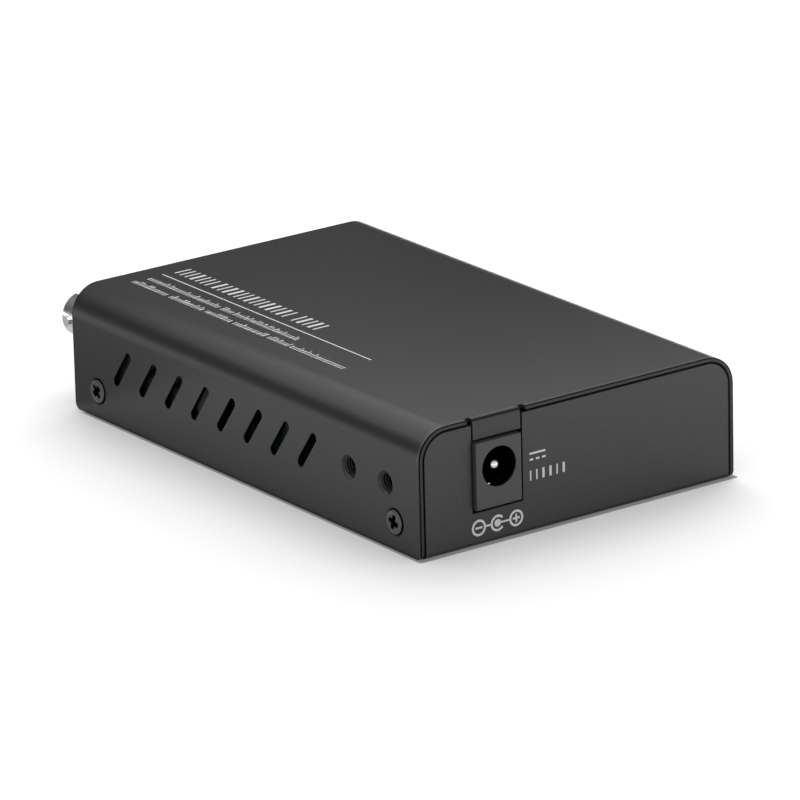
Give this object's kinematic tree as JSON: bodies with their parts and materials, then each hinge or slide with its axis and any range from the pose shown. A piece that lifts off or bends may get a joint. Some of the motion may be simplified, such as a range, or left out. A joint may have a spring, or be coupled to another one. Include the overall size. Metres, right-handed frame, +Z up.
{
  "type": "fibre media converter",
  "caption": "Slim folded-steel box that joins a duplex fibre link to a copper network socket, with slanted side vents and a barrel power inlet at the rear.",
  "frame": {"origin": "the middle of the case's underside, on the surface that it stands on", "axes": "+Z up; +Y towards the rear panel with the power inlet, so the fibre barrels, the network socket and the lamps face -Y; +X towards the side next to the fibre port"},
  "size_m": [0.0604, 0.105, 0.0204],
  "materials": {
    "case_coat": "satin black powder coat with a very fine grain",
    "panel_coat": "satin black powder coat, with printed marks beside the inlet",
    "screw_black": "blackened steel, satin",
    "plated_steel": "bright zinc or tin plate",
    "board_green": "green solder mask over glass laminate",
    "moulded_black": "matt black moulding",
    "contact_nickel": "nickel plate",
    "contact_gold": "thin gold plate",
    "socket_shell": "tin-plated sheet",
    "barrel_nickel": "turned and nickel plated",
    "sleeve_ceramic": "pale ceramic, polished",
    "lamp_green": "green tinted resin lens",
    "chip_resin": "moulded resin",
    "capacitor_foil": "dark printed sleeve with a bare aluminium top",
    "ferrite_grey": "dark grey ferrite",
    "fuse_resin": "green resin with tinned ends",
    "print_ink": "pale grey screen print",
    "capacitor_ceramic": "tan ceramic with tinned ends"
  },
  "bodies": {
    "root": {"top_cover": "case_coat", "bottom_chassis": "panel_coat", "cover_screws": "screw_black", "board_pillars": "plated_steel", "board_screws": "plated_steel", "circuit_board": "board_green", "inlet_housing": "moulded_black", "inlet_centre_pin": "contact_nickel", "inlet_spring": "contact_nickel", "rj45_shield": "socket_shell", "rj45_insert": "moulded_black", "rj45_contacts": "contact_gold", "fibre_housing": "moulded_black", "fibre_shield": "socket_shell", "receive_barrel": "barrel_nickel", "transmit_barrel": "barrel_nickel", "receive_sleeve": "sleeve_ceramic", "transmit_sleeve": "sleeve_ceramic", "fibre_pins": "contact_gold", "lamp_holder": "moulded_black", "status_lamps": "lamp_green", "lamp_leads": "plated_steel", "converter_chip": "chip_resin", "converter_chip_legs": "plated_steel", "line_transformer": "chip_resin", "line_transformer_legs": "plated_steel", "regulator_chip": "chip_resin", "regulator_legs": "plated_steel", "clock_crystal": "socket_shell", "filter_capacitors": "capacitor_foil", "power_inductor": "ferrite_grey", "input_fuse": "fuse_resin", "input_diode": "chip_resin", "chip_capacitors": "capacitor_ceramic"}
  },
  "joints": []
}
